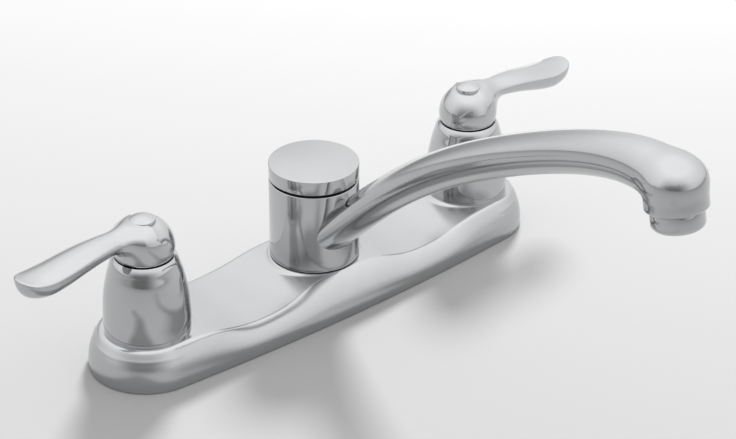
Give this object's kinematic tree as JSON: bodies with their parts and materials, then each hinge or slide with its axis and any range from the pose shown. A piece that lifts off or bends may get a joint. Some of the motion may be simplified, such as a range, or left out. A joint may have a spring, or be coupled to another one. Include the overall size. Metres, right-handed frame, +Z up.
{
  "type": "kitchen faucet",
  "caption": "Deck-mounted kitchen faucet: oblong base plate, two lever handles on domed bonnets, and an arched swivelling spout with an aerator.",
  "frame": {"origin": "deck level on the gasket's underside, on the spout's swivel axis, midway between the two handle axes", "axes": "+Z up from the deck; -Y towards the user, the way the spout points at rest; -X the hot handle, +X the cold handle"},
  "size_m": [0.3406, 0.2731, 0.2179],
  "materials": {
    "chrome": "polished plating",
    "brass": "machined, dull",
    "steel": "plain stainless",
    "rubber": "matt black",
    "black_plastic": "moulded, slightly rough",
    "white_plastic": "moulded, satin",
    "ceramic": "lapped smooth"
  },
  "bodies": {
    "base": {"escutcheon": "chrome", "spout_cap": "chrome", "hot_bonnet": "chrome", "cold_bonnet": "chrome", "centre_post": "brass", "hot_valve_body": "brass", "hot_cartridge_body": "brass", "hot_retainer_nut": "brass", "hot_crossover_tube": "brass", "cold_valve_body": "brass", "cold_cartridge_body": "brass", "cold_retainer_nut": "brass", "cold_crossover_tube": "brass", "hot_shank_washer": "steel", "cold_shank_washer": "steel", "spout_o_rings": "rubber", "hot_cartridge_o_ring": "rubber", "hot_seat_seal": "rubber", "cold_cartridge_o_ring": "rubber", "cold_seat_seal": "rubber", "deck_gasket": "black_plastic", "spout_thrust_washer": "black_plastic", "hot_locknut": "black_plastic", "cold_locknut": "black_plastic", "spout_glide_rings": "white_plastic", "hot_fixed_disc": "ceramic", "cold_fixed_disc": "ceramic"},
    "hot_side_handle": {"hot_stem": "brass", "hot_moving_disc": "ceramic", "hot_handle": "chrome", "hot_handle_screw": "steel", "hot_index_button": "chrome"},
    "cold_side_handle": {"cold_stem": "brass", "cold_moving_disc": "ceramic", "cold_handle": "chrome", "cold_handle_screw": "steel", "cold_index_button": "chrome"},
    "swivel_spout": {"spout": "chrome", "aerator_housing": "chrome", "aerator_insert": "white_plastic", "aerator_screen": "steel", "aerator_washer": "rubber"}
  },
  "joints": [
    {"name": "hot_handle_turn", "type": "hinge", "parent": "base", "child": "hot_side_handle", "pos_m": [-0.1016, 0, 0.0655], "axis": [0, 0, 1], "range_deg": [0, 90]},
    {"name": "cold_handle_turn", "type": "hinge", "parent": "base", "child": "cold_side_handle", "pos_m": [0.1016, 0, 0.0655], "axis": [0, 0, 1], "range_deg": [-90, 0]},
    {"name": "spout_swivel", "type": "hinge", "parent": "base", "child": "swivel_spout", "pos_m": [0, 0, 0.042], "axis": [0, 0, 1], "continuous": true}
  ]
}
